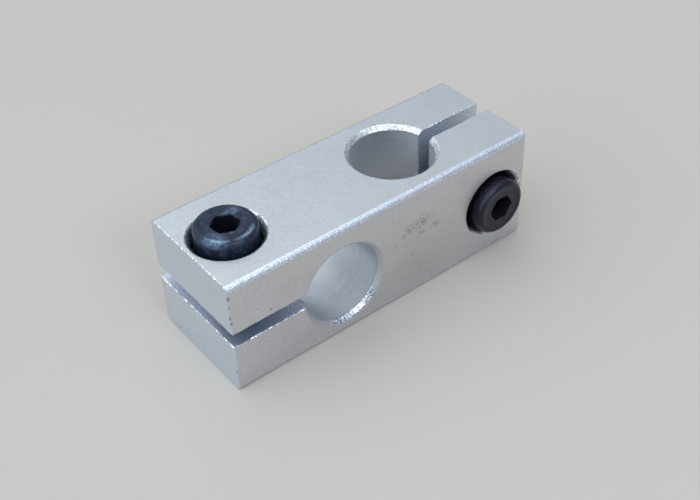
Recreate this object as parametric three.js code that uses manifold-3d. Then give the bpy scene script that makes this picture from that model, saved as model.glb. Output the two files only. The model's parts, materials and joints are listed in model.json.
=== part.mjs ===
// Right-angle rod clamp: a slit aluminium block that grips two crossed 10 mm rods,
// each closed by its own M4 socket head cap screw.
// Millimetres, +Z up. The origin is the centre of the block's bottom face, +X runs along the
// block from the half that holds the level rod to the half that holds the upright rod.
import * as THREE from 'three';
import { mergeVertices } from 'three/addons/utils/BufferGeometryUtils.js';
import Module from 'manifold-3d';

const wasm = await Module();
wasm.setup();

// ---- Driving dimensions ----------------------------------------------------------------

const block = {
  length: 42.5,
  width: 15,
  height: 15,
  edgeRadius: 0.6, // the bar's four long edges
};

const rodBore = {
  radius: 5,
  chamfer: 0.5, // at both mouths, 45 degrees
};

const slot = {
  width: 1.8,
  levelHeight: 7.55, // middle of the level slot above the bottom face
};

// M4 x 12 socket head cap screw, threaded along its whole shank.
const screw = {
  headRadius: 3.6, // over the knurl
  headHeight: 4,
  headEdge: 0.65, // rounding of the head's top edge
  socketAcrossFlats: 3,
  socketDepth: 2.4,
  threadRadius: 2,
  coreRadius: 1.6,
  length: 12,
  tipChamfer: 0.5,
};

const counterbore = {
  radius: 4.1,
  chamfer: 0.4, // at the mouth, 45 degrees
  clearanceRadius: 2.25, // drilled through the jaw under the head
};

// The thread itself is left out: the shank is drawn at its core and the tapped hole at the
// thread's outer radius, so the two stay apart by the thread's depth.
const seatGap = 0.3; // between the head's underside and the counterbore's floor
const headProud = 1.4; // head's top above the face it enters
const overshoot = 1; // how far a cutter runs past the face it cuts through

const nearEnd = -block.length / 2;
const farEnd = block.length / 2;
const frontFace = -block.width / 2;

const levelRod = { x: nearEnd + 15, z: 6.85 };
const uprightRod = { x: farEnd - 14.4, y: 0 };

const topScrew = { x: nearEnd + 5, y: 0, socketTurn: 38 };
const sideScrew = { x: farEnd - 4.7, z: levelRod.z, socketTurn: 58 };

const headSeatDepth = screw.headHeight - headProud;
const seatHeightTop = block.height - headSeatDepth;
const seatDepthSide = frontFace + headSeatDepth;

const boreSegments = 72;
const screwSegments = 48;
const arcSteps = 4;

// ---- Materials -------------------------------------------------------------------------

const blastedAluminium = new THREE.MeshStandardMaterial({
  name: 'blasted_aluminium',
  color: 0xb9bec4,
  roughness: 0.45,
  metalness: 1,
});

const blackOxideSteel = new THREE.MeshStandardMaterial({
  name: 'black_oxide_steel',
  color: 0x24272c,
  roughness: 0.4,
  metalness: 0.8,
});

// ---- Solids ----------------------------------------------------------------------------

function toSolid(geometry) {
  geometry.deleteAttribute('normal');
  geometry.deleteAttribute('uv');
  const merged = mergeVertices(geometry, 1e-5);
  return new wasm.Manifold(new wasm.Mesh({
    numProp: 3,
    vertProperties: Float32Array.from(merged.attributes.position.array),
    triVerts: Uint32Array.from(merged.index.array),
  }));
}

function toGeometry(solid) {
  const mesh = solid.getMesh();
  const geometry = new THREE.BufferGeometry();
  geometry.setAttribute('position', new THREE.BufferAttribute(mesh.vertProperties, 3));
  geometry.setIndex(new THREE.BufferAttribute(mesh.triVerts, 1));
  geometry.computeVertexNormals();
  return geometry;
}

// A body of revolution about Z. The profile is a list of [radius, z] points that starts and
// ends on the axis.
function turned(profile, segments) {
  const points = profile.map(([radius, z]) => new THREE.Vector2(radius, z));
  return new THREE.LatheGeometry(points, segments).rotateX(Math.PI / 2);
}

// Turns a shape drawn along +Z so that it lies along -Y, out of the front face.
function alongFront(geometry) {
  return geometry.rotateX(Math.PI / 2);
}

// ---- Block -----------------------------------------------------------------------------

function barGeometry() {
  const { width, height, edgeRadius: r } = block;
  const half = width / 2;
  const section = new THREE.Shape();
  section.moveTo(-half + r, 0);
  section.lineTo(half - r, 0);
  section.absarc(half - r, r, r, -Math.PI / 2, 0);
  section.absarc(half - r, height - r, r, 0, Math.PI / 2);
  section.absarc(-half + r, height - r, r, Math.PI / 2, Math.PI);
  section.absarc(-half + r, r, r, Math.PI, 1.5 * Math.PI);
  const bar = new THREE.ExtrudeGeometry(section, {
    depth: block.length,
    curveSegments: arcSteps,
    bevelEnabled: false,
  });
  const alongX = new THREE.Matrix4().makeBasis(
    new THREE.Vector3(0, 1, 0),
    new THREE.Vector3(0, 0, 1),
    new THREE.Vector3(1, 0, 0),
  );
  return bar.applyMatrix4(alongX).translate(nearEnd, 0, 0);
}

// Cutter for a rod bore through a wall that starts at z = 0: a cylinder that flares at both
// mouths into the chamfers.
function rodBoreCutter(wall) {
  const { radius, chamfer } = rodBore;
  const mouth = radius + chamfer + overshoot;
  return turned([
    [0, -overshoot],
    [mouth, -overshoot],
    [radius, chamfer],
    [radius, wall - chamfer],
    [mouth, wall + overshoot],
    [0, wall + overshoot],
  ], boreSegments);
}

// Cutter for a screw hole whose head seats at z = 0 and whose tip points to -Z: counterbore
// that flares at its mouth into the chamfer, clearance hole down to the slot, and tapped hole
// beyond it.
function screwHoleCutter(jawDepth, tappedEnd) {
  const { radius, chamfer, clearanceRadius } = counterbore;
  const flareRadius = radius + chamfer + overshoot;
  return turned([
    [0, -tappedEnd - overshoot],
    [screw.threadRadius, -tappedEnd - overshoot],
    [screw.threadRadius, -jawDepth],
    [clearanceRadius, -jawDepth],
    [clearanceRadius, -seatGap],
    [radius, -seatGap],
    [radius, headSeatDepth - chamfer],
    [flareRadius, headSeatDepth + overshoot],
    [0, headSeatDepth + overshoot],
  ], screwSegments);
}

function clampBlock() {
  const levelSlotLength = levelRod.x - nearEnd + overshoot;
  const levelSlot = new THREE.BoxGeometry(levelSlotLength, block.width + 2 * overshoot, slot.width)
    .translate(nearEnd - overshoot + levelSlotLength / 2, 0, slot.levelHeight);

  const uprightSlotLength = farEnd - uprightRod.x + overshoot;
  const uprightSlot = new THREE.BoxGeometry(uprightSlotLength, slot.width, block.height + 2 * overshoot)
    .translate(uprightRod.x + uprightSlotLength / 2, uprightRod.y, block.height / 2);

  const levelBore = alongFront(rodBoreCutter(block.width)).translate(levelRod.x, -frontFace, levelRod.z);
  const uprightBore = rodBoreCutter(block.height).translate(uprightRod.x, uprightRod.y, 0);

  const topHole = screwHoleCutter(seatHeightTop - slot.levelHeight, seatHeightTop)
    .translate(topScrew.x, topScrew.y, seatHeightTop);
  const sideHole = alongFront(screwHoleCutter(-seatDepthSide, block.width / 2 - seatDepthSide))
    .translate(sideScrew.x, seatDepthSide, sideScrew.z);

  const cutters = [levelSlot, uprightSlot, levelBore, uprightBore, topHole, sideHole];
  const solid = cutters.reduce((rest, cutter) => rest.subtract(toSolid(cutter)), toSolid(barGeometry()));

  const mesh = new THREE.Mesh(toGeometry(solid), blastedAluminium);
  mesh.name = 'clamp_block';
  return mesh;
}

// ---- Screws ----------------------------------------------------------------------------

// Head on +Z with its underside at z = 0, shank along -Z.
function screwBody() {
  const { headRadius, headHeight, headEdge, coreRadius, length, tipChamfer } = screw;
  const roundedEdge = Array.from({ length: arcSteps + 1 }, (_, step) => {
    const angle = (step / arcSteps) * (Math.PI / 2);
    return [
      headRadius - headEdge + headEdge * Math.cos(angle),
      headHeight - headEdge + headEdge * Math.sin(angle),
    ];
  });
  return turned([
    [0, -length],
    [coreRadius - tipChamfer, -length],
    [coreRadius, -length + tipChamfer],
    [coreRadius, 0],
    [headRadius, 0],
    ...roundedEdge,
    [0, headHeight],
  ], screwSegments);
}

// Hexagonal key socket, one corner at socketTurn degrees from +X.
function socketCutter(socketTurn) {
  const corner = screw.socketAcrossFlats / Math.sqrt(3);
  const hexagon = new THREE.Shape(Array.from({ length: 6 }, (_, side) => {
    const angle = THREE.MathUtils.degToRad(socketTurn + side * 60);
    return new THREE.Vector2(corner * Math.cos(angle), corner * Math.sin(angle));
  }));
  return new THREE.ExtrudeGeometry(hexagon, {
    depth: screw.socketDepth + overshoot,
    bevelEnabled: false,
  }).translate(0, 0, screw.headHeight - screw.socketDepth);
}

function capScrew(name, socketTurn) {
  const solid = toSolid(screwBody()).subtract(toSolid(socketCutter(socketTurn)));
  const mesh = new THREE.Mesh(toGeometry(solid), blackOxideSteel);
  mesh.name = name;
  return mesh;
}

// ---- Assembly --------------------------------------------------------------------------

const topClampScrew = capScrew('top_clamp_screw', topScrew.socketTurn);
topClampScrew.position.set(topScrew.x, topScrew.y, seatHeightTop);

const sideClampScrew = capScrew('side_clamp_screw', sideScrew.socketTurn);
sideClampScrew.rotation.x = Math.PI / 2;
sideClampScrew.position.set(sideScrew.x, seatDepthSide, sideScrew.z);

const group = new THREE.Group();
group.name = 'right_angle_rod_clamp';
group.add(clampBlock(), topClampScrew, sideClampScrew);

export default group;
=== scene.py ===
# Right-angle rod clamp: its looks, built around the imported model.
# Shapes are drawn in millimetres in the clamp's own frame, which has its origin at the centre
# of the block's bottom face, +X along the block and +Z up, and are scaled to metres at the end.
import json
import math

import bmesh
import bpy
import numpy as np
from mathutils import Matrix, Quaternion, Vector, noise


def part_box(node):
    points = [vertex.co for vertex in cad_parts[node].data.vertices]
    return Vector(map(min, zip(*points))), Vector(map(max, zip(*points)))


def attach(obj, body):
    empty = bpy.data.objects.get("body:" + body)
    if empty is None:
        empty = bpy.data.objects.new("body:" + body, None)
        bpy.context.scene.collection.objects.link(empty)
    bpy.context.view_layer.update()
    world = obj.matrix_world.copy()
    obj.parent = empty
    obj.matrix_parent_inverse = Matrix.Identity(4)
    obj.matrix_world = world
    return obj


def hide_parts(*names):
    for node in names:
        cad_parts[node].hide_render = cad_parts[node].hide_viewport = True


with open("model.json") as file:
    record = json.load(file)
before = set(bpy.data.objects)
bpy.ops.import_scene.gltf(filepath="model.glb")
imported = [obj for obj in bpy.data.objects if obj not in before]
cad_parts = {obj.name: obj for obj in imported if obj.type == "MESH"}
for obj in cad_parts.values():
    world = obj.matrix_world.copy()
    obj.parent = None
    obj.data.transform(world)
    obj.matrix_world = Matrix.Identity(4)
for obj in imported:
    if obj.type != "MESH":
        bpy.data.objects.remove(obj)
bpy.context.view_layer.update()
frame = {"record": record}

MM = 0.001
TURN = 2 * math.pi


# ---- Places, from the frame ---------------------------------------------------------------

def box_mm(node):
    low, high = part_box(node)
    return low / MM, high / MM


def opening_middle(name):
    openings = frame["record"]["physics"]["openings"]
    low, high = next(o["box_m"] for o in openings if o["name"] == name)
    return (Vector(low) + Vector(high)) / 2 / MM


BLOCK_LOW, BLOCK_HIGH = box_mm("clamp_block")
BLOCK_MIDDLE = (BLOCK_LOW + BLOCK_HIGH) / 2
NEAR_END, FAR_END = BLOCK_LOW.x, BLOCK_HIGH.x
FRONT, BACK = BLOCK_LOW.y, BLOCK_HIGH.y
BOTTOM, TOP = BLOCK_LOW.z, BLOCK_HIGH.z

LEVEL_ROD = opening_middle("level_rod_bore")
UPRIGHT_ROD = opening_middle("upright_rod_bore")

TOP_SCREW_LOW, TOP_SCREW_HIGH = box_mm("top_clamp_screw")
SIDE_SCREW_LOW, SIDE_SCREW_HIGH = box_mm("side_clamp_screw")
TOP_SCREW = (TOP_SCREW_LOW + TOP_SCREW_HIGH) / 2
SIDE_SCREW = (SIDE_SCREW_LOW + SIDE_SCREW_HIGH) / 2

# ---- Driving sizes, in millimetres ----------------------------------------------------------

LONG_EDGE_RADIUS = 0.6
ROD_RADIUS = 5.0
ROD_CHAMFER = 0.5
SLOT_WIDTH = 1.8
LEVEL_SLOT_Z = 7.55

HEAD_RADIUS = (TOP_SCREW_HIGH.x - TOP_SCREW_LOW.x) / 2
HEAD_HEIGHT = 4.0
SHANK_LENGTH = TOP_SCREW_HIGH.z - TOP_SCREW_LOW.z - HEAD_HEIGHT
SEAT_TOP = TOP_SCREW_HIGH.z - HEAD_HEIGHT
SEAT_SIDE = SIDE_SCREW_LOW.y + HEAD_HEIGHT
SEAT_CLEARANCE = 0.03
COUNTERBORE_DEPTH = TOP - SEAT_TOP
COUNTERBORE_RADIUS = 4.1
COUNTERBORE_CHAMFER = 0.4
CLEARANCE_RADIUS = 2.25

PITCH = 0.7
THREAD_CREST = 1.96
THREAD_ROOT = 1.57
THREAD_ROOT_FLAT = 0.25  # share of half a pitch that lies at the root
THREAD_FLANK = 0.625  # share of half a pitch over which the thread rises to its crest
TAPPED_MINOR = 1.66
TAPPED_GAP = 0.04
TAP_PILOT = 1.4
TAP_MOUTH = 2.16  # radius of the countersinks at both ends of the tapped hole
TAP_OVERRUN = 0.25

SOCKET_ACROSS_FLATS = 3.0
SOCKET_DEPTH = 2.4
TOP_SOCKET_TURN = math.radians(38)
SIDE_SOCKET_TURN = math.radians(58)

KNURL_TEETH = 52
KNURL_DEPTH = 0.06
SHOULDER_RADIUS = 0.65
UNDERSIDE_RADIUS = 0.25
DISC_RIM = HEAD_RADIUS - SHOULDER_RADIUS
DISC_DISH = [(2.89, 0.0), (2.84, 0.025), (2.7, 0.045), (2.4, 0.065), (2.0, 0.075)]  # radius, depth

EDGE_BREAK = 0.12
FINE_EDGE_BREAK = 0.05
BLUNT_CORNER = 0.4
DICE_STEP = 0.25
TOUCHING = 0.01  # places nearer than this count as the same
SKIN = 0.02  # how far a face may lie under a surface and still belong to it
CUT_EDGE_ANGLE = math.radians(28)  # an edge sharper than this was left by a cut
OVERSHOOT = 1.0

BORE_COLUMNS = 144
HOLE_COLUMNS = 96
THREAD_COLUMNS = 71
SOCKET_COLUMNS = 48
ROWS_PER_PITCH = 12
SAMPLES_PER_TOOTH = 6

SHARP_ON_BLOCK = math.radians(20)
SHARP_ON_SCREW = math.radians(35)

# Which way a shape drawn along +Z lies: columns are where its own X, Y and Z go.
ALONG_X = np.array([[0, 0, 1], [1, 0, 0], [0, 1, 0]], float)
ALONG_FRONT = np.array([[1, 0, 0], [0, 0, -1], [0, 1, 0]], float)
ALONG_Z = np.eye(3)


# ---- Mesh tools -----------------------------------------------------------------------------

def mesh_object(name, points, faces):
    mesh = bpy.data.meshes.new(name)
    mesh.from_pydata([tuple(point) for point in points], [], faces)
    piece = bpy.data.objects.new(name, mesh)
    bpy.context.scene.collection.objects.link(piece)
    return piece


def lofted(name, rings, lies=ALONG_Z, at=(0, 0, 0)):
    """A closed surface through rings of points, each wound left about +Z, with flat ends."""
    rings = np.asarray(rings, float)
    rows, columns = rings.shape[:2]
    faces = []
    for row in range(rows - 1):
        for column in range(columns):
            a = row * columns + column
            b = row * columns + (column + 1) % columns
            faces.append((a, b, b + columns, a + columns))
    faces.append(tuple(reversed(range(columns))))
    faces.append(tuple(range((rows - 1) * columns, rows * columns)))
    return mesh_object(name, rings.reshape(-1, 3) @ lies.T + np.array(at), faces)


def ring(radius, height, columns):
    """A ring of points about the Z axis; radius is one number or one for each column."""
    turn = np.arange(columns) / columns * TURN
    radius = np.broadcast_to(radius, columns)
    return np.column_stack([radius * np.cos(turn), radius * np.sin(turn), np.full(columns, height)])


def turned(name, profile, columns, lies=ALONG_Z, at=(0, 0, 0)):
    return lofted(name, [ring(radius, height, columns) for radius, height in profile], lies, at)


def box(name, low, high):
    corners = [(low[0], low[1]), (high[0], low[1]), (high[0], high[1]), (low[0], high[1])]
    return lofted(name, [[(x, y, z) for x, y in corners] for z in (low[2], high[2])])


def apply_modifiers(piece):
    depsgraph = bpy.context.evaluated_depsgraph_get()
    made = bpy.data.meshes.new_from_object(piece.evaluated_get(depsgraph))
    before = piece.data
    piece.modifiers.clear()
    piece.data = made
    bpy.data.meshes.remove(before)


def combine(piece, other, operation):
    modifier = piece.modifiers.new("combine", "BOOLEAN")
    modifier.operation = operation
    modifier.solver = "EXACT"
    modifier.object = other
    apply_modifiers(piece)
    bpy.data.objects.remove(other)


def settle(piece, name, body, node, sharp_angle, material=None):
    """Scales a finished piece to metres, shades it and gives it to the frame."""
    piece.name = name
    piece.data.name = name
    piece.data.transform(Matrix.Scale(MM, 4))
    if not piece.data.materials:
        piece.data.materials.append(material)
    piece.data.shade_smooth()
    piece.data.set_sharp_from_angle(angle=sharp_angle)
    weighted = piece.modifiers.new("normals", "WEIGHTED_NORMAL")
    weighted.keep_sharp = True
    weighted.weight = 90
    apply_modifiers(piece)
    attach(piece, body)
    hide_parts(node)


# ---- Clamp block ----------------------------------------------------------------------------

(
    BLASTED, BORED_LEVEL, BORED_UPRIGHT, SAWN, COUNTERBORED, CHAMFERED, BROKEN_EDGE, WORN_EDGE,
) = range(8)


def rounded_section(half_width, half_height, radius, steps=8):
    section = []
    for quarter, (side, up) in enumerate([(1, -1), (1, 1), (-1, 1), (-1, -1)]):
        for step in range(steps + 1):
            turn = (quarter - 1 + step / steps) * TURN / 4
            section.append((
                side * (half_width - radius) + radius * math.cos(turn),
                up * (half_height - radius) + radius * math.sin(turn),
            ))
    return section


def bar():
    section = rounded_section((BACK - FRONT) / 2, (TOP - BOTTOM) / 2, LONG_EDGE_RADIUS)
    rings = [[(u, v, w) for u, v in section] for w in (NEAR_END, FAR_END)]
    return lofted("bar", rings, ALONG_X, (0, BLOCK_MIDDLE.y, BLOCK_MIDDLE.z))


def rod_bore(name, wall, lies, at):
    mouth = ROD_RADIUS + ROD_CHAMFER + OVERSHOOT
    return turned(name, [
        (mouth, -OVERSHOOT),
        (ROD_RADIUS, ROD_CHAMFER),
        (ROD_RADIUS, wall - ROD_CHAMFER),
        (mouth, wall + OVERSHOOT),
    ], BORE_COLUMNS, lies, at)


def screw_hole(name, jaw, wall, lies, at):
    """Counterbore, clearance hole down to the slot and a countersunk pilot for the tap beyond
    it. The head seats at height 0; the slot's middle is at -jaw and the far face at -wall."""
    lip = jaw + SLOT_WIDTH / 2
    countersink = TAP_MOUTH - TAP_PILOT
    just_above = 0.01
    return turned(name, [
        (TAP_MOUTH + OVERSHOOT, -wall - OVERSHOOT),
        (TAP_PILOT, -wall + countersink),
        (TAP_PILOT, -lip - countersink),
        (TAP_MOUTH, -lip),
        (CLEARANCE_RADIUS, -lip + just_above),
        (CLEARANCE_RADIUS, -SEAT_CLEARANCE),
        (COUNTERBORE_RADIUS, -SEAT_CLEARANCE),
        (COUNTERBORE_RADIUS, COUNTERBORE_DEPTH - COUNTERBORE_CHAMFER),
        (COUNTERBORE_RADIUS + COUNTERBORE_CHAMFER + OVERSHOOT, COUNTERBORE_DEPTH + OVERSHOOT),
    ], HOLE_COLUMNS, lies, at)


def thread_radius(turn, height, crest, root):
    """Radius of a right-hand thread about +Z, at an angle and a height along it."""
    across = abs((height / PITCH - turn / TURN) % 1 - 0.5) * 2
    return root + (crest - root) * np.clip((across - THREAD_ROOT_FLAT) / THREAD_FLANK, 0, 1)


def tapped_thread(name, low, high, lies, at):
    """What the tap takes out: the screw's own thread with a little room round it."""
    turn = np.arange(THREAD_COLUMNS) / THREAD_COLUMNS * TURN
    rows = int((high - low) / PITCH * ROWS_PER_PITCH)
    rings = []
    for height in np.linspace(low, high, rows + 1):
        thread = thread_radius(turn, height, THREAD_CREST, THREAD_ROOT) + TAPPED_GAP
        rings.append(ring(np.maximum(thread, TAPPED_MINOR), height, THREAD_COLUMNS))
    return lofted(name, rings, lies, at)


def break_edges(piece):
    """Takes the sharpness off every cut edge, and marks the new faces."""
    shape = bmesh.new()
    shape.from_mesh(piece.data)
    bmesh.ops.remove_doubles(shape, verts=shape.verts, dist=1e-4)
    weld_beside_slots(shape)
    for face in shape.faces:
        face.material_index = BLASTED
    weight = shape.edges.layers.float.new("bevel_weight_edge")
    for edge in shape.edges:
        if edge.is_manifold and edge.calc_face_angle_signed() > CUT_EDGE_ANGLE:
            middle = (edge.verts[0].co + edge.verts[1].co) / 2
            edge[weight] = edge_break(middle) / BLUNT_CORNER
    shape.to_mesh(piece.data)
    shape.free()
    bevel = piece.modifiers.new("break", "BEVEL")
    bevel.width = BLUNT_CORNER
    bevel.segments = 2
    bevel.limit_method = "WEIGHT"
    bevel.use_clamp_overlap = False
    bevel.material = BROKEN_EDGE
    apply_modifiers(piece)


def weld_beside_slots(shape):
    """Welds a bore's points that lie too near a slot's wall to leave room for a broken edge."""
    onto = {}
    for edge in shape.edges:
        if edge.calc_length() < 1.5 * EDGE_BREAK:
            for kept, welded in (edge.verts, reversed(edge.verts)):
                if on_slot_wall(kept.co, 1e-3) and not on_slot_wall(welded.co, 1e-3):
                    onto[welded] = kept
    bmesh.ops.weld_verts(shape, targetmap=onto)


def on_slot_wall(point, tolerance):
    from_level = abs(abs(point.z - LEVEL_SLOT_Z) - SLOT_WIDTH / 2)
    from_upright = abs(abs(point.y - UPRIGHT_ROD.y) - SLOT_WIDTH / 2)
    on_level = from_level < tolerance and point.x < LEVEL_ROD.x
    on_upright = from_upright < tolerance and point.x > UPRIGHT_ROD.x
    return on_level or on_upright


def edge_break(middle):
    """How wide an edge is broken, from where its middle lies."""
    slot_side = UPRIGHT_ROD.y - SLOT_WIDTH / 2
    if abs(middle.x - FAR_END) < TOUCHING and abs(middle.y - slot_side) < TOUCHING:
        return BLUNT_CORNER
    return FINE_EDGE_BREAK if by_thin_wall(middle) else EDGE_BREAK


def by_thin_wall(middle):
    """True on the side counterbore's rim, which leaves only a thin wall at the far end."""
    across = math.hypot(middle.x - SIDE_SCREW.x, middle.z - SIDE_SCREW.z)
    return across < COUNTERBORE_RADIUS + COUNTERBORE_CHAMFER + 0.1 and middle.y < SEAT_SIDE + 0.1


def dice_edges(mesh):
    """Cuts the long broken edges across, so that they can take small burrs."""
    shape = bmesh.new()
    shape.from_mesh(mesh)
    for axis in range(3):
        low, high = BLOCK_LOW[axis], BLOCK_HIGH[axis]
        normal = Vector((axis == 0, axis == 1, axis == 2))
        count = round((high - low) / DICE_STEP)
        strips = [face for face in shape.faces if is_strip(face, axis)]
        for step in range(1, count):
            level = low + step * (high - low) / count
            crossed = [f for f in strips if f.is_valid and crosses(f, axis, level)]
            if crossed:
                parts = set(crossed)
                for face in crossed:
                    parts.update(face.edges, face.verts)
                cut = bmesh.ops.bisect_plane(
                    shape, geom=list(parts), plane_co=normal * level, plane_no=normal, dist=1e-3,
                )
                strips += [f for f in cut["geom"] if isinstance(f, bmesh.types.BMFace)]
    shape.to_mesh(mesh)
    shape.free()


def is_strip(face, axis):
    """True for a broken edge's face that is long along the axis."""
    along = [vertex.co[axis] for vertex in face.verts]
    return face.material_index == BROKEN_EDGE and max(along) - min(along) > 2 * DICE_STEP


def crosses(face, axis, level):
    along = [vertex.co[axis] for vertex in face.verts]
    return min(along) < level < max(along)


def surface_kind(middle, normal):
    """Which finish a face of the block has, from where it lies."""
    from_level = math.hypot(middle.x - LEVEL_ROD.x, middle.z - LEVEL_ROD.z)
    from_upright = math.hypot(middle.x - UPRIGHT_ROD.x, middle.y - UPRIGHT_ROD.y)
    if from_level < ROD_RADIUS + SKIN and abs(normal.y) < 0.2:
        return BORED_LEVEL
    if from_upright < ROD_RADIUS + SKIN and abs(normal.z) < 0.2:
        return BORED_UPRIGHT
    from_outside = min(
        middle.x - NEAR_END, FAR_END - middle.x, middle.y - FRONT,
        BACK - middle.y, middle.z - BOTTOM, TOP - middle.z,
    )
    if from_outside < LONG_EDGE_RADIUS and abs(normal.x) < 0.01 and on_long_edge(middle):
        return WORN_EDGE
    if from_outside < SKIN:
        return BLASTED
    if from_level < ROD_RADIUS + ROD_CHAMFER and 0.5 < abs(normal.y) < 0.9:
        return CHAMFERED
    if from_upright < ROD_RADIUS + ROD_CHAMFER and 0.5 < abs(normal.z) < 0.9:
        return CHAMFERED
    depth = depth_in_counterbore(middle)
    if depth is not None:
        return CHAMFERED if depth < COUNTERBORE_CHAMFER / COUNTERBORE_DEPTH else COUNTERBORED
    return SAWN


def on_round_mouth(point):
    """True on the rims of a bore or a counterbore, beside its chamfer."""
    reach = ROD_RADIUS + ROD_CHAMFER + EDGE_BREAK
    from_level = math.hypot(point.x - LEVEL_ROD.x, point.z - LEVEL_ROD.z)
    from_upright = math.hypot(point.x - UPRIGHT_ROD.x, point.y - UPRIGHT_ROD.y)
    depth = depth_in_counterbore(point)
    in_counterbore = depth is not None and depth < 0.5
    return from_level < reach or from_upright < reach or in_counterbore


def on_upright_corner(point):
    """True on the upright edges at the bar's ends, those of the upright slot among them."""
    from_end = min(point.x - NEAR_END, FAR_END - point.x)
    from_side = min(point.y - FRONT, BACK - point.y)
    from_slot = abs(abs(point.y - UPRIGHT_ROD.y) - SLOT_WIDTH / 2)
    on_bar = from_end < 2 * EDGE_BREAK and from_side < 2 * EDGE_BREAK
    on_slot = FAR_END - point.x < BLUNT_CORNER and from_slot < BLUNT_CORNER
    return on_bar or on_slot


def depth_in_counterbore(point):
    """How deep a point lies in a counterbore, from 0 at its mouth to 1 at its floor, or None."""
    reach = COUNTERBORE_RADIUS + COUNTERBORE_CHAMFER + EDGE_BREAK
    from_top_screw = math.hypot(point.x - TOP_SCREW.x, point.y - TOP_SCREW.y)
    if from_top_screw < reach and point.z > SEAT_TOP - 0.2:
        return (TOP - point.z) / COUNTERBORE_DEPTH
    from_side_screw = math.hypot(point.x - SIDE_SCREW.x, point.z - SIDE_SCREW.z)
    if from_side_screw < reach and point.y < SEAT_SIDE + 0.2:
        return (point.y - FRONT) / COUNTERBORE_DEPTH
    return None


def mark_depth(mesh):
    """Gives each point of a counterbore its depth, for the material to darken with painted shade."""
    deep = mesh.attributes.new("deep", "FLOAT", "POINT")
    for vertex in mesh.vertices:
        deep.data[vertex.index].value = depth_in_counterbore(vertex.co) or 0.0


def on_long_edge(middle):
    from_front = min(middle.y - FRONT, BACK - middle.y)
    from_top = min(middle.z - BOTTOM, TOP - middle.z)
    return from_front < LONG_EDGE_RADIUS and from_top < LONG_EDGE_RADIUS


def roughen_edges(mesh):
    """Small burrs and dents along the crest of each broken edge, larger on the sawn slots."""
    shape = bmesh.new()
    shape.from_mesh(mesh)
    shape.normal_update()
    crest = [
        (vertex, vertex.normal.copy()) for vertex in shape.verts
        if all(face.material_index == BROKEN_EDGE for face in vertex.link_faces)
    ]
    for vertex, normal in crest:
        lift = 0.03 * noise.noise(vertex.co * 3.1)
        if on_slot_wall(vertex.co, EDGE_BREAK):
            lift += 0.07 * noise.noise(vertex.co * 4.3 + Vector((1, 9, 4)))
        vertex.co += normal * min(lift, 0.04)
    shape.to_mesh(mesh)
    shape.free()


def drop_idle_points(mesh):
    """Takes out the points between the same two faces, over which both would fold a sliver."""
    shape = bmesh.new()
    shape.from_mesh(mesh)
    idle = [vertex for vertex in shape.verts if len(vertex.link_edges) == 2]
    bmesh.ops.dissolve_verts(shape, verts=idle)
    shape.to_mesh(mesh)
    shape.free()


def clamp_block():
    block = bar()
    for material in block_materials():
        block.data.materials.append(material)
    half = SLOT_WIDTH / 2
    level_slot = box(
        "level_slot",
        (NEAR_END - OVERSHOOT, FRONT - OVERSHOOT, LEVEL_SLOT_Z - half),
        (LEVEL_ROD.x, BACK + OVERSHOOT, LEVEL_SLOT_Z + half),
    )
    upright_slot = box(
        "upright_slot",
        (UPRIGHT_ROD.x, UPRIGHT_ROD.y - half, BOTTOM - OVERSHOOT),
        (FAR_END + OVERSHOOT, UPRIGHT_ROD.y + half, TOP + OVERSHOOT),
    )
    top_at = (TOP_SCREW.x, TOP_SCREW.y, SEAT_TOP)
    side_at = (SIDE_SCREW.x, SEAT_SIDE, SIDE_SCREW.z)
    top_jaw = SEAT_TOP - LEVEL_SLOT_Z
    top_wall = SEAT_TOP - BOTTOM
    side_jaw = UPRIGHT_ROD.y - SEAT_SIDE
    side_wall = BACK - SEAT_SIDE
    cutters = [
        level_slot,
        upright_slot,
        rod_bore("level_bore", BACK - FRONT, ALONG_FRONT, (LEVEL_ROD.x, BACK, LEVEL_ROD.z)),
        rod_bore("upright_bore", TOP - BOTTOM, ALONG_Z, (UPRIGHT_ROD.x, UPRIGHT_ROD.y, BOTTOM)),
        screw_hole("top_hole", top_jaw, top_wall, ALONG_Z, top_at),
        screw_hole("side_hole", side_jaw, side_wall, ALONG_FRONT, side_at),
    ]
    for cutter in cutters:
        combine(block, cutter, "DIFFERENCE")
    break_edges(block)
    dice_edges(block.data)
    roughen_edges(block.data)
    for name, jaw, wall, lies, at in [
        ("top_thread", top_jaw, top_wall, ALONG_Z, top_at),
        ("side_thread", side_jaw, side_wall, ALONG_FRONT, side_at),
    ]:
        thread = tapped_thread(name, -wall - TAP_OVERRUN, -jaw - half + TAP_OVERRUN, lies, at)
        combine(block, thread, "DIFFERENCE")
    drop_idle_points(block.data)
    for face in block.data.polygons:
        if face.material_index != BROKEN_EDGE:
            face.material_index = surface_kind(face.center, face.normal)
        elif on_round_mouth(face.center):
            face.material_index = CHAMFERED
        elif on_upright_corner(face.center):
            face.material_index = BLASTED
    mark_depth(block.data)
    return block


# ---- Screws ---------------------------------------------------------------------------------

def shank():
    """Threaded shank along -Z from the head's underside, with a pointed-off tip."""
    turn = np.arange(THREAD_COLUMNS) / THREAD_COLUMNS * TURN
    tip = 1.25
    plain = 1.78
    run_out, fade_length = 0.9, 0.5
    into_head = 0.6
    rows = int(SHANK_LENGTH / PITCH * ROWS_PER_PITCH)
    rings = []
    for height in np.linspace(-SHANK_LENGTH, 0, rows + 1):
        thread = thread_radius(turn, height, THREAD_CREST, THREAD_ROOT)
        thread = np.minimum(thread, tip + (height + SHANK_LENGTH))
        fade = np.clip((height + run_out) / fade_length, 0, 1)
        rings.append(ring(thread * (1 - fade) + plain * fade, height, THREAD_COLUMNS))
    rings.append(ring(plain, into_head, THREAD_COLUMNS))
    return lofted("shank", rings)


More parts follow.
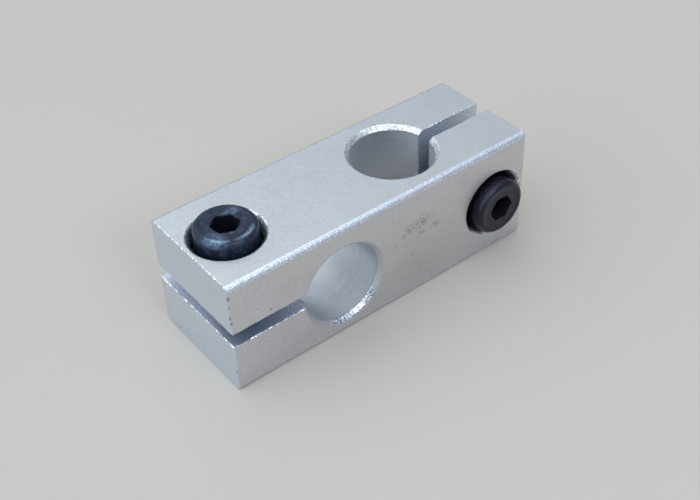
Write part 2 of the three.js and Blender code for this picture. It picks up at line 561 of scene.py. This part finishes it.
def head_profile():
    """(radius, height, knurl) along the head from its underside to the rim of its top disc."""
    profile = [(2.2, 0.06, 0), (2.9, 0.0, 0)]
    for step in range(5):
        turn = step / 4 * TURN / 4
        profile.append((
            HEAD_RADIUS - UNDERSIDE_RADIUS + UNDERSIDE_RADIUS * math.sin(turn),
            UNDERSIDE_RADIUS - UNDERSIDE_RADIUS * math.cos(turn),
            0,
        ))
    shoulder = HEAD_HEIGHT - SHOULDER_RADIUS
    for height in np.linspace(UNDERSIDE_RADIUS + 0.1, shoulder, 16):
        rise = min((height - UNDERSIDE_RADIUS) / 0.35, (shoulder + 0.12 - height) / 0.3, 1.0)
        profile.append((HEAD_RADIUS, height, max(0.0, rise)))
    for step in range(1, 11):
        turn = step / 10 * TURN / 4
        profile.append((
            DISC_RIM + SHOULDER_RADIUS * math.cos(turn),
            shoulder + SHOULDER_RADIUS * math.sin(turn),
            0.35 * max(0.0, 1 - step / 3),
        ))
    return profile


def head():
    """Knurled head on +Z, its top slightly dished inside the disc's rim."""
    columns = KNURL_TEETH * SAMPLES_PER_TOOTH
    turn = np.arange(columns) / columns * TURN
    groove = (0.5 - 0.5 * np.cos(KNURL_TEETH * turn)) ** 0.8
    rings = [
        ring(radius - knurl * KNURL_DEPTH * groove, height, columns)
        for radius, height, knurl in head_profile()
    ]
    for radius, depth in DISC_DISH:
        rings.append(ring(radius, HEAD_HEIGHT - depth, columns))
    return lofted("head", rings)


def key_socket(turned_by):
    """Hexagonal key socket with a conical mouth and a drilled bottom."""
    turn = np.arange(SOCKET_COLUMNS) / SOCKET_COLUMNS * TURN
    apothem = SOCKET_ACROSS_FLATS / 2
    sixth = TURN / 6
    hexagon = apothem / np.cos((turn % sixth) - sixth / 2)
    mouth, slope = 1.65, 1.1
    rings = []
    floor = HEAD_HEIGHT - SOCKET_DEPTH
    for radius, height in [(0.15, floor - 0.75), (1.35, floor - 0.12)]:
        rings.append(ring(np.minimum(hexagon, radius), height, SOCKET_COLUMNS))
    rings.append(ring(hexagon, floor, SOCKET_COLUMNS))
    for height in np.linspace(HEAD_HEIGHT - 0.45, HEAD_HEIGHT + 0.3, 11):
        cone = mouth + (height - HEAD_HEIGHT) * slope
        rings.append(ring(np.maximum(hexagon, cone), height, SOCKET_COLUMNS))
    cosine, sine = math.cos(turned_by), math.sin(turned_by)
    spin = np.array([[cosine, -sine, 0], [sine, cosine, 0], [0, 0, 1]])
    return lofted("socket", rings, spin)


def scuff(mesh):
    """Slight unevenness of a forged head, how rubbed each point is and how far down the socket, for
    the painted shade there.
    """
    rubbed = mesh.attributes.new("rubbed", "FLOAT", "POINT")
    sunk = mesh.attributes.new("sunk", "FLOAT", "POINT")
    normals = [vertex.normal.copy() for vertex in mesh.vertices]
    for vertex, normal in zip(mesh.vertices, normals):
        point = vertex.co
        if point.z <= 0:
            continue
        radius = math.hypot(point.x, point.y)
        from_rim = math.hypot(radius - DISC_RIM - 0.12, point.z - HEAD_HEIGHT + 0.03)
        rubbed.data[vertex.index].value = max(0.0, 1 - from_rim / 0.3)
        if radius < SOCKET_ACROSS_FLATS / 2 + 0.3:
            sunk.data[vertex.index].value = min(1.0, max(0.0, HEAD_HEIGHT - 0.1 - point.z) * 4)
        vertex.co += normal * 0.012 * noise.noise(point * 1.7)


def cap_screw(turned_by, lies, at):
    screw = head()
    combine(screw, shank(), "UNION")
    combine(screw, key_socket(turned_by), "DIFFERENCE")
    scuff(screw.data)
    placed = Matrix(lies.tolist()).to_4x4()
    placed.translation = at
    screw.data.transform(placed)
    return screw


# ---- Materials ------------------------------------------------------------------------------

class Surface:
    """A material's node tree, with each node added and linked in one call."""

    def __init__(self, name, **shader):
        self.material = bpy.data.materials.new(name)
        self.material.use_nodes = True
        self.tree = self.material.node_tree
        self.shader = self.tree.nodes["Principled BSDF"]
        self.set(self.shader, shader)
        coordinates = self.add("TexCoord").outputs["Object"]
        scaled = self.add("VectorMath", {0: coordinates, "Scale": 1 / MM}, operation="SCALE")
        self.millimetres = scaled.outputs[0]

    def set(self, node, values):
        for socket, value in values.items():
            if isinstance(socket, str):
                socket = socket.replace("_", " ")
            if isinstance(value, bpy.types.NodeSocket):
                self.tree.links.new(value, node.inputs[socket])
            else:
                node.inputs[socket].default_value = value

    def add(self, kind, values=None, **settings):
        node = self.tree.nodes.new("ShaderNode" + kind)
        for setting, value in settings.items():
            setattr(node, setting, value)
        self.set(node, values or {})
        return node

    def stretched(self, x, y, z):
        """Coordinates in millimetres, multiplied axis by axis."""
        node = self.add("VectorMath", {0: self.millimetres, 1: (x, y, z)}, operation="MULTIPLY")
        return node.outputs[0]

    def grain(self, per_mm, detail=2.0, roughness=0.5, at=None):
        """Noise from 0 to 1 whose grains are about 1 / per_mm across."""
        values = {
            "Vector": at or self.millimetres, "Scale": per_mm,
            "Detail": detail, "Roughness": roughness,
        }
        return self.add("TexNoise", values, normalize=True).outputs[0]

    def facets(self, per_mm):
        """A random value from 0 to 1 for each tiny facet, of which per_mm lie along a millimetre."""
        values = {"Vector": self.millimetres, "Scale": per_mm}
        return self.add("TexVoronoi", values).outputs["Color"]

    def ramp(self, value, low, high, to_low=0.0, to_high=1.0):
        values = {0: value, 1: low, 2: high, 3: to_low, 4: to_high}
        return self.add("MapRange", values, clamp=True).outputs[0]

    def math(self, operation, first, second=0.0):
        return self.add("Math", {0: first, 1: second}, operation=operation).outputs[0]

    def mix(self, share, first, second):
        node = self.add("Mix", data_type="RGBA")
        self.set(node, {0: share, 6: first, 7: second})
        return node.outputs[2]

    def attribute(self, name):
        return self.add("Attribute", attribute_name=name).outputs["Fac"]

    def bump(self, height, depth_mm, normal=None):
        values = {"Height": height, "Distance": depth_mm * MM, "Strength": 1.0}
        if normal is not None:
            values["Normal"] = normal
        return self.add("Bump", values).outputs[0]


ALUMINIUM_DULL = (0.58, 0.587, 0.61, 1)
ALUMINIUM_BRIGHT = (0.75, 0.76, 0.788, 1)
ALUMINIUM_PAINTED_COOL_LIGHT = (0.66, 0.73, 0.84, 1)
ALUMINIUM_PLAIN = (0.60, 0.61, 0.63, 1)
REAMED_BRIGHT = (0.90, 0.92, 0.95, 1)
SAWN_DULL = (0.54, 0.60, 0.72, 1)
SAWN_BRIGHT = (0.92, 0.94, 0.99, 1)
COUNTERBORE_DULL = (0.22, 0.27, 0.36, 1)
COUNTERBORE_BRIGHT = (0.85, 0.90, 0.96, 1)
FACET_DULL = (0.46, 0.51, 0.60, 1)
FACET_PAINTED_DARK_REFLECTION = (0.18, 0.24, 0.38, 1)
FACET_PAINTED_GLINT = (0.98, 0.99, 1.0, 1)
BURR_DULL = (0.46, 0.50, 0.58, 1)
BURR_PAINTED_GLINT = (1.0, 1.0, 1.0, 1)
BURNISHED_DULL = (0.46, 0.54, 0.72, 1)
BURNISHED_BRIGHT = (0.95, 0.97, 1.0, 1)
DARK_MARK = (0.10, 0.10, 0.11, 1)
COUNTERBORE_PAINTED_SHADE = (0.022, 0.03, 0.05, 1)
BORE_PAINTED_SHADE_COLOUR = (0.44, 0.48, 0.54, 1)
SLOT_PAINTED_SHADE_COLOUR = (0.26, 0.32, 0.46, 1)
RUBBED_STEEL = (0.28, 0.38, 0.50, 1)
SOCKET_PAINTED_SHADE = (0.001, 0.001, 0.002, 1)

# Where the block's tone changes, each a middle and a reach in millimetres: its two sawn ends, tinted
# lighter and cooler as painted cool light, a faintly darker patch low on the front face and a rubbed
# smudge on it, a few pits, and nicks along the vertical edge at the near end.
CUT_ENDS = [
    ((end, BLOCK_MIDDLE.y, BLOCK_MIDDLE.z), (0.3, 30.0, 30.0)) for end in (NEAR_END, FAR_END)
]
LOW_FRONT_PATCH = [((4.0, FRONT, 3.5), (10.0, 0.5, 8.0))]
SMUDGES = [
    ((5.2, FRONT, 10.0), (2.0, 0.5, 1.3)), ((3.5, FRONT, 9.8), (1.4, 0.5, 1.0)),
    ((2.4, FRONT, 9.2), (0.6, 0.5, 0.5)), ((1.0, FRONT, 8.4), (0.4, 0.5, 0.25)),
    ((5.0, FRONT, 8.5), (0.8, 0.5, 0.5)), ((7.0, FRONT, 8.6), (1.0, 0.5, 0.8)),
    ((3.6, FRONT, 5.9), (0.4, 0.5, 0.25)),
]
PITS = [
    ((-16.2, FRONT, 9.3), (0.18, 0.5, 0.18)), ((-17.8, FRONT, 10.2), (0.15, 0.5, 0.15)),
    ((NEAR_END, FRONT, 13.6), (0.34, 0.3, 0.45)), ((NEAR_END, FRONT, 12.4), (0.26, 0.2, 0.30)),
    ((NEAR_END, FRONT, 10.9), (0.28, 0.3, 0.40)), ((NEAR_END, FRONT, 10.1), (0.30, 0.3, 0.35)),
    ((NEAR_END, FRONT, 3.0), (0.16, 0.16, 0.35)),
]


def marks(surface, places, softness):
    """How near the surface is to any of the places, from 0 outside their reach to 1 inside."""
    nearest = 0.0
    for middle, reach in places:
        scaled = surface.stretched(*[1 / r for r in reach])
        centre = tuple(c / r for c, r in zip(middle, reach))
        away = surface.add("VectorMath", {0: scaled, 1: centre}, operation="DISTANCE").outputs["Value"]
        nearest = surface.math("MAXIMUM", nearest, surface.ramp(away, 1, 1 - softness))
    return nearest


def pitted(surface):
    """How dark the pits and nicks are, with broken outlines."""
    outline = surface.ramp(surface.grain(3.0, 2.0), 0.35, 0.5, 0.1, 0.75)
    return surface.math("MULTIPLY", marks(surface, PITS, 0.8), outline)


def blasted_aluminium():
    """Fine even grain from bead blasting, faint clouding, and a few dark marks."""
    surface = Surface("blasted_aluminium", Metallic=1.0)
    fine = surface.grain(5.5, 3.0, 0.6)
    cloud = surface.grain(0.25, 3.0)
    tone = surface.math(
        "ADD", surface.math("MULTIPLY", fine, 0.8), surface.math("MULTIPLY", cloud, 0.2),
    )
    colour = surface.mix(surface.ramp(tone, 0.3, 0.7), ALUMINIUM_DULL, ALUMINIUM_BRIGHT)
    # Painted cool light: both cut ends are tinted lighter and cooler.
    cut = surface.math("MULTIPLY", marks(surface, CUT_ENDS, 0.5), 0.5)
    colour = surface.mix(cut, colour, ALUMINIUM_PAINTED_COOL_LIGHT)
    # Darker low on the front face, towards the floor.
    low_front_darkening = surface.math("MULTIPLY", marks(surface, LOW_FRONT_PATCH, 0.9), 0.14)
    colour = surface.mix(low_front_darkening, colour, DARK_MARK)
    speckle = surface.ramp(surface.grain(4.2, 3.0), 0.46, 0.60, 0.12, 1.0)
    smudged = surface.math("MULTIPLY", marks(surface, SMUDGES, 0.9), speckle)
    colour = surface.mix(surface.math("MULTIPLY", smudged, 0.6), colour, DARK_MARK)
    colour = surface.mix(pitted(surface), colour, DARK_MARK)
    roughness = surface.ramp(fine, 0.3, 0.7, 0.46, 0.36)
    normal = surface.bump(fine, 0.014)
    normal = surface.bump(surface.grain(0.9, 2.0), 0.02, normal)
    surface.set(surface.shader, {"Base Color": colour, "Roughness": roughness, "Normal": normal})
    return surface.material


# Where painted shade darkens the walls of the bores and of the level slot's front corner: a
# middle and a reach in millimetres.
LEVEL_BORE_PAINTED_SHADE = [
    ((LEVEL_ROD.x + 3.8, FRONT + 2.0, LEVEL_ROD.z + 3.2), (3.8, 6.0, 3.8)),
    ((LEVEL_ROD.x - 3.0, FRONT + 2.0, LEVEL_ROD.z - 4.0), (3.4, 5.5, 2.8)),
]
UPRIGHT_BORE_PAINTED_SHADE = [((UPRIGHT_ROD.x + 2.0, UPRIGHT_ROD.y + 4.6, TOP - 1.0), (5.5, 3.5, 5.5))]
SLOT_CORNER_PAINTED_SHADE = [((NEAR_END + 2.5, FRONT + 1.0, LEVEL_SLOT_Z), (8.0, 4.5, 3.0))]


def bored_aluminium(name, along, shaded_places):
    """Faint rings left by the reamer, running round the bore's own axis, in patches."""
    surface = Surface(name, Metallic=1.0)
    rings_at = surface.stretched(*[3.4 if axis == along else 0.08 for axis in range(3)])
    rings = surface.grain(1.0, 3.0, 0.7, rings_at)
    patches = surface.ramp(surface.grain(0.3, 1.0), 0.4, 0.6)
    fine = surface.grain(5.0, 2.0)
    drawn = surface.math("MULTIPLY", surface.math("SUBTRACT", rings, 0.5), patches)
    tone = surface.math("ADD", surface.math("MULTIPLY", fine, 0.5), surface.math("ADD", drawn, 0.25))
    colour = surface.mix(surface.ramp(tone, 0.3, 0.7), ALUMINIUM_BRIGHT, REAMED_BRIGHT)
    # Painted shade: the walls are darkened towards the given places.
    overlay_share = surface.math("MULTIPLY", marks(surface, shaded_places, 0.9), 0.75)
    colour = surface.mix(overlay_share, colour, BORE_PAINTED_SHADE_COLOUR)
    roughness = surface.ramp(fine, 0.3, 0.7, 0.56, 0.46)
    normal = surface.bump(drawn, 0.07)
    normal = surface.bump(fine, 0.008, normal)
    surface.set(surface.shader, {"Base Color": colour, "Roughness": roughness, "Normal": normal})
    return surface.material


def sawn_aluminium():
    """Slot walls: duller, with coarse speckle, and a painted shade of dark blue at the level slot's
    front corner.
    """
    surface = Surface("sawn_aluminium", Metallic=1.0)
    speckle = surface.grain(4.5, 3.0, 0.7)
    colour = surface.mix(surface.ramp(speckle, 0.38, 0.62), SAWN_DULL, SAWN_BRIGHT)
    # Painted shade, tinted blue, at the level slot's front corner.
    overlay_share = surface.math("MULTIPLY", marks(surface, SLOT_CORNER_PAINTED_SHADE, 0.9), 0.7)
    colour = surface.mix(overlay_share, colour, SLOT_PAINTED_SHADE_COLOUR)
    roughness = surface.ramp(speckle, 0.3, 0.7, 0.56, 0.40)
    normal = surface.bump(speckle, 0.05)
    surface.set(surface.shader, {"Base Color": colour, "Roughness": roughness, "Normal": normal})
    return surface.material


def counterbored_aluminium():
    """Speckled at the mouth, the specks partly painted glints, and darker further down with painted
    shade.
    """
    surface = Surface("counterbored_aluminium", Metallic=0.35)
    speckle = surface.grain(6.0, 3.0, 0.7)
    bright = surface.mix(surface.ramp(speckle, 0.44, 0.58), COUNTERBORE_DULL, COUNTERBORE_BRIGHT)
    uneven = surface.ramp(speckle, 0.3, 0.7, 0.12, -0.12)
    down = surface.math("ADD", surface.attribute("deep"), uneven)
    # Painted shade: darker towards the counterbore's floor.
    colour = surface.mix(surface.ramp(down, 0.20, 0.85), bright, COUNTERBORE_PAINTED_SHADE)
    roughness = surface.ramp(speckle, 0.3, 0.7, 0.62, 0.40)
    normal = surface.bump(speckle, 0.05)
    surface.set(surface.shader, {"Base Color": colour, "Roughness": roughness, "Normal": normal})
    return surface.material


def chamfered_aluminium():
    """Turned chamfers, sparkling with tiny facets whose colour swings from dull to white, partly
    painted glints. The level bore's front mouth sparkles only along its foot, with darker facets than
    the rest as painted dark reflection, and is blasted like the face elsewhere."""
    surface = Surface("chamfered_aluminium", Metallic=1.0)
    mouth = (LEVEL_ROD.x, FRONT, LEVEL_ROD.z)
    foot = (LEVEL_ROD.x + 1.6, FRONT, LEVEL_ROD.z - 5.0)
    on_mouth = marks(surface, [(mouth, (6.2, 2.0, 6.2))], 0.05)
    on_foot = marks(surface, [(foot, (4.1, 2.0, 4.1))], 0.25)
    blasted = surface.math("MULTIPLY", on_mouth, surface.math("SUBTRACT", 1.0, on_foot))
    facets = surface.facets(7.0)
    dull = surface.mix(on_foot, FACET_DULL, FACET_PAINTED_DARK_REFLECTION)
    # Painted glints: the facets' colour swings from dull to near white.
    colour = surface.mix(surface.ramp(facets, 0.28, 0.62), dull, FACET_PAINTED_GLINT)
    colour = surface.mix(blasted, colour, ALUMINIUM_PLAIN)
    glint = surface.ramp(facets, 0.3, 0.7, 0.42, 0.26)
    roughness = surface.math("MAXIMUM", glint, surface.math("MULTIPLY", blasted, 0.42))
    relief = surface.math("MULTIPLY", facets, surface.math("SUBTRACT", 1.0, blasted))
    normal = surface.bump(relief, 0.015)
    surface.set(surface.shader, {"Base Color": colour, "Roughness": roughness, "Normal": normal})
    return surface.material


def broken_edge_aluminium():
    """Burrs along the broken edges, each catching the light as a speck of its own; the specks are
    partly painted glints, the colour swinging from dull to white.
    """
    surface = Surface("broken_edge_aluminium", Metallic=1.0)
    burrs = surface.grain(3.0, 2.0, 0.6)
    # Painted glints: white specks in the colour.
    colour = surface.mix(surface.ramp(burrs, 0.44, 0.54), BURR_DULL, BURR_PAINTED_GLINT)
    colour = surface.mix(pitted(surface), colour, DARK_MARK)
    roughness = surface.ramp(burrs, 0.4, 0.6, 0.44, 0.16)
    normal = surface.bump(burrs, 0.14)
    surface.set(surface.shader, {"Base Color": colour, "Roughness": roughness, "Normal": normal})
    return surface.material


def worn_edge_aluminium():
    """The bar's rounded long edges, burnished by handling, with a fine speckle."""
    surface = Surface("worn_edge_aluminium", Metallic=1.0)
    speckle = surface.grain(7.0, 2.0, 0.6)
    facets = surface.facets(6.0)
    tone = surface.math(
        "ADD", surface.ramp(speckle, 0.40, 0.54, 0.0, 0.6), surface.ramp(facets, 0.3, 0.7, 0.0, 0.4),
    )
    colour = surface.mix(tone, BURNISHED_DULL, BURNISHED_BRIGHT)
    roughness = surface.ramp(speckle, 0.4, 0.6, 0.36, 0.24)
    normal = surface.bump(speckle, 0.04)
    surface.set(surface.shader, {"Base Color": colour, "Roughness": roughness, "Normal": normal})
    return surface.material


def block_materials():
    """In the order of the surface kinds."""
    return [
        blasted_aluminium(),
        bored_aluminium("bored_level", 1, LEVEL_BORE_PAINTED_SHADE),
        bored_aluminium("bored_upright", 2, UPRIGHT_BORE_PAINTED_SHADE),
        sawn_aluminium(),
        counterbored_aluminium(),
        chamfered_aluminium(),
        broken_edge_aluminium(),
        worn_edge_aluminium(),
    ]


# Where dust lies on each screw's head, and where the top screw's rim is rubbed: a middle and a
# reach in millimetres. The patches at the near left of the top head and at the upper left of the
# side head are partly painted highlight, where the light catches the shoulder.
TOP_DUST_AND_HIGHLIGHT = [
    ((TOP_SCREW.x - 2.5, TOP_SCREW.y - 1.8, TOP_SCREW_HIGH.z - 0.2), (1.8, 2.0, 0.8)),
    ((TOP_SCREW.x + 1.6, TOP_SCREW.y + 1.3, TOP_SCREW_HIGH.z), (1.5, 0.8, 0.5)),
    ((TOP_SCREW.x - 0.3, TOP_SCREW.y - 1.7, TOP_SCREW_HIGH.z), (0.4, 0.3, 0.4)),
]
TOP_RUBS_AND_HIGHLIGHT = [
    ((TOP_SCREW.x - 2.4, TOP_SCREW.y - 2.0, TOP_SCREW_HIGH.z), (1.6, 1.6, 0.5)),
    ((TOP_SCREW.x + 1.2, TOP_SCREW.y - 2.8, TOP_SCREW_HIGH.z), (2.2, 1.2, 0.4)),
]
SIDE_DUST_AND_HIGHLIGHT = [((SIDE_SCREW.x - 2.1, SIDE_SCREW_LOW.y + 0.3, SIDE_SCREW.z + 2.5), (1.6, 0.8, 1.2))]


def black_oxide_steel(name, oxide, dusty, dust_and_highlight, rubs_and_highlight, roughness, gloss, tint):
    """Blue-black oxide, clouded and with dust in places, rubbed thin on parts of the shoulder, and
    with painted shade near black down the socket. Some dust and rub patches are partly painted
    highlight."""
    surface = Surface(name, Specular_IOR_Level=gloss, Specular_Tint=tint)
    cloud = surface.grain(1.3, 4.0, 0.7)
    fine = surface.grain(7.0, 3.0, 0.6)
    overlay_share = surface.ramp(cloud, 0.46, 0.74, 0.0, 0.25)
    streaks = surface.grain(2.8, 4.0, 0.7)
    patchy = surface.ramp(streaks, 0.40, 0.56, 0.2, 1.0)
    # Dust, partly painted highlight where the light catches the shoulder.
    dust_and_highlight_share = surface.math("MULTIPLY", marks(surface, dust_and_highlight, 0.9), patchy)
    cover = surface.math("MAXIMUM", overlay_share, dust_and_highlight_share)
    colour = surface.mix(cover, oxide, dusty)
    rubbed = surface.math("MULTIPLY", surface.attribute("rubbed"), marks(surface, rubs_and_highlight, 0.8))
    rubbed = surface.math("MULTIPLY", rubbed, surface.ramp(streaks, 0.36, 0.52))
    colour = surface.mix(rubbed, colour, RUBBED_STEEL)
    # Painted shade: near black down the socket.
    sunk = surface.attribute("sunk")
    colour = surface.mix(sunk, colour, SOCKET_PAINTED_SHADE)
    dulled = surface.math(
        "MAXIMUM", surface.math("MULTIPLY", cover, 0.14), surface.math("MULTIPLY", sunk, 0.4),
    )
    normal = surface.bump(fine, 0.010)
    normal = surface.bump(cloud, 0.03, normal)
    surface.set(surface.shader, {
        "Base Color": colour,
        "Roughness": surface.math("ADD", dulled, roughness),
        "Metallic": surface.math("MULTIPLY", rubbed, 0.7),
        "Normal": normal,
    })
    return surface.material


def pale_floor():
    return Surface("pale_floor", Roughness=0.75, Base_Color=(0.495, 0.458, 0.415, 1)).material


# ---- Stage ----------------------------------------------------------------------------------

def floor():
    reach = 1500
    z = BOTTOM
    piece = mesh_object("floor", [
        (-reach, -reach, z), (reach, -reach, z), (reach, reach, z), (-reach, reach, z),
    ], [(0, 1, 2, 3)])
    piece.data.transform(Matrix.Scale(MM, 4))
    piece.data.materials.append(pale_floor())


def direction(azimuth, elevation):
    """Unit vector towards a place round the clamp: azimuth 0 is in front, 90 at the far end."""
    a, e = math.radians(azimuth), math.radians(elevation)
    return Vector((math.sin(a) * math.cos(e), -math.cos(a) * math.cos(e), math.sin(e)))


LIGHT_DISTANCE = 0.7


def softbox(name, azimuth, elevation, width, height, radiance, colour):
    light = bpy.data.lights.new(name, "AREA")
    light.shape = "RECTANGLE"
    light.size, light.size_y = width, height
    light.energy = radiance * math.pi * width * height
    light.color = colour
    lamp = bpy.data.objects.new(name, light)
    back = direction(azimuth, elevation)
    lamp.location = BLOCK_MIDDLE * MM + back * LIGHT_DISTANCE
    lamp.rotation_mode = "QUATERNION"
    lamp.rotation_quaternion = back.to_track_quat("Z", "Y")
    bpy.context.scene.collection.objects.link(lamp)


# The direction in which the room is brightest. Each row of ROOM says how far a direction leans that
# way, from 0 for square to it or beyond to 1 for straight along it, then radiance and colour.
BRIGHTEST_WAY = (-0.26, 0.17, 1.0)
ROOM = [
    (0.0, 0.45, (0.77, 0.84, 0.95)),
    (0.3, 0.48, (0.78, 0.85, 0.95)),
    (0.48, 0.57, (0.80, 0.88, 0.98)),
    (0.62, 0.74, (0.80, 0.91, 1.0)),
    (0.78, 1.30, (0.88, 0.96, 1.0)),
    (1.0, 1.75, (0.92, 0.97, 1.0)),
]


def lights():
    """A small key light in front with a weak fill beside it, a cool window at the near end, and a
    soft room that is brightest overhead and behind."""
    softbox(
        "key", azimuth=-3, elevation=37, width=0.22, height=0.16, radiance=9.0,
        colour=(0.88, 0.91, 0.97),
    )
    softbox(
        "fill", azimuth=36, elevation=40, width=0.36, height=0.26, radiance=0.5,
        colour=(0.80, 0.91, 1.0),
    )
    softbox(
        "window", azimuth=-98, elevation=18, width=0.9, height=0.45, radiance=1.7,
        colour=(0.60, 0.80, 1.0),
    )
    world = bpy.data.worlds.new("room")
    world.use_nodes = True
    nodes, links = world.node_tree.nodes, world.node_tree.links
    towards = nodes.new("ShaderNodeTexCoord").outputs["Generated"]
    height = nodes.new("ShaderNodeVectorMath")
    height.operation = "DOT_PRODUCT"
    height.inputs[1].default_value = BRIGHTEST_WAY
    links.new(towards, height.inputs[0])
    ramp = nodes.new("ShaderNodeValToRGB")
    links.new(height.outputs["Value"], ramp.inputs[0])
    brightest = max(radiance for _, radiance, _ in ROOM)
    elements = ramp.color_ramp.elements
    while len(elements) < len(ROOM):
        elements.new(0.5)
    for element, (position, radiance, colour) in zip(elements, ROOM):
        element.position = position
        element.color = [channel * radiance / brightest for channel in colour] + [1]
    background = nodes["Background"]
    background.inputs["Strength"].default_value = brightest
    links.new(ramp.outputs["Color"], background.inputs["Color"])
    bpy.context.scene.world = world


def camera():
    """The photograph's own viewing angle and framing."""
    azimuth, elevation, roll = -36.95, 40.53, -2.22
    distance = 0.1281
    aim = BLOCK_MIDDLE * MM + Vector((-0.0026, -0.00373, 0))
    data = bpy.data.cameras.new("camera")
    data.sensor_width = 36
    data.lens = 57.41
    data.clip_start = 0.005
    rig = bpy.data.objects.new("camera", data)
    back = direction(azimuth, elevation)
    rig.location = aim + back * distance
    rig.rotation_mode = "QUATERNION"
    rolled = Quaternion((0, 0, 1), math.radians(roll))
    rig.rotation_quaternion = (-back).to_track_quat("-Z", "Y") @ rolled
    bpy.context.scene.collection.objects.link(rig)
    bpy.context.scene.camera = rig


# ---- Assembly -------------------------------------------------------------------------------

camera()
lights()
floor()
bpy.context.scene.view_settings.view_transform = "Standard"

settle(clamp_block(), "block_body", "block", "clamp_block", SHARP_ON_BLOCK)

top_screw = cap_screw(TOP_SOCKET_TURN, ALONG_Z, (TOP_SCREW.x, TOP_SCREW.y, SEAT_TOP))
side_screw = cap_screw(SIDE_SOCKET_TURN, ALONG_FRONT, (SIDE_SCREW.x, SEAT_SIDE, SIDE_SCREW.z))
hazed = black_oxide_steel(
    "hazed_black_oxide", oxide=(0.009, 0.010, 0.023, 1), dusty=(0.12, 0.18, 0.27, 1),
    dust_and_highlight=TOP_DUST_AND_HIGHLIGHT, rubs_and_highlight=TOP_RUBS_AND_HIGHLIGHT, roughness=0.32, gloss=0.44, tint=(0.56, 0.72, 1.0, 1),
)
# The side screw is the same steel as the top one; its copy is painted darker and more neutral, as
# painted shade for the way it faces the light.
side_oxide_painted_darker = black_oxide_steel(
    "side_black_oxide_painted_darker", oxide=(0.003, 0.003, 0.006, 1), dusty=(0.020, 0.030, 0.050, 1),
    dust_and_highlight=SIDE_DUST_AND_HIGHLIGHT, rubs_and_highlight=[], roughness=0.26, gloss=0.52, tint=(0.74, 0.74, 0.96, 1),
)
for screw, name, body, node, steel in [
    (top_screw, "top_cap_screw", "top_screw", "top_clamp_screw", hazed),
    (side_screw, "side_cap_screw", "side_screw", "side_clamp_screw", side_oxide_painted_darker),
]:
    settle(screw, name, body, node, SHARP_ON_SCREW, steel)
